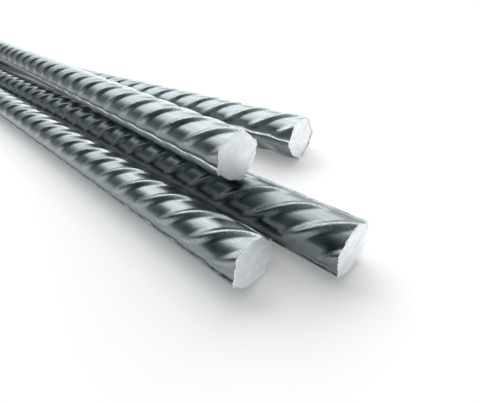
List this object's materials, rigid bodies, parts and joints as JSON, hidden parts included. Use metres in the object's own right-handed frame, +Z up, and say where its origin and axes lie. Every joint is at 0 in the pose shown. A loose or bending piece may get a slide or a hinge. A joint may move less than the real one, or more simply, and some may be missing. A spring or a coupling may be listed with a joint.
{
  "type": "rebar bundle",
  "caption": "Loose bundle of straight deformed steel reinforcing bars with square-cut ends, for reinforcing concrete.",
  "frame": {"origin": "on the floor, under the middle of the bundle's box", "axes": "+X along the middle bar towards the near ends, +Y from the front bar to the back bar, +Z up"},
  "size_m": [1.0888, 0.1498, 0.0709],
  "materials": {
    "rolled_steel": "hot-rolled blue-grey mill scale, with bright cut ends"
  },
  "bodies": {
    "root": {"front_bar": "rolled_steel", "middle_bar": "rolled_steel", "back_bar": "rolled_steel", "top_bar": "rolled_steel"}
  },
  "joints": []
}
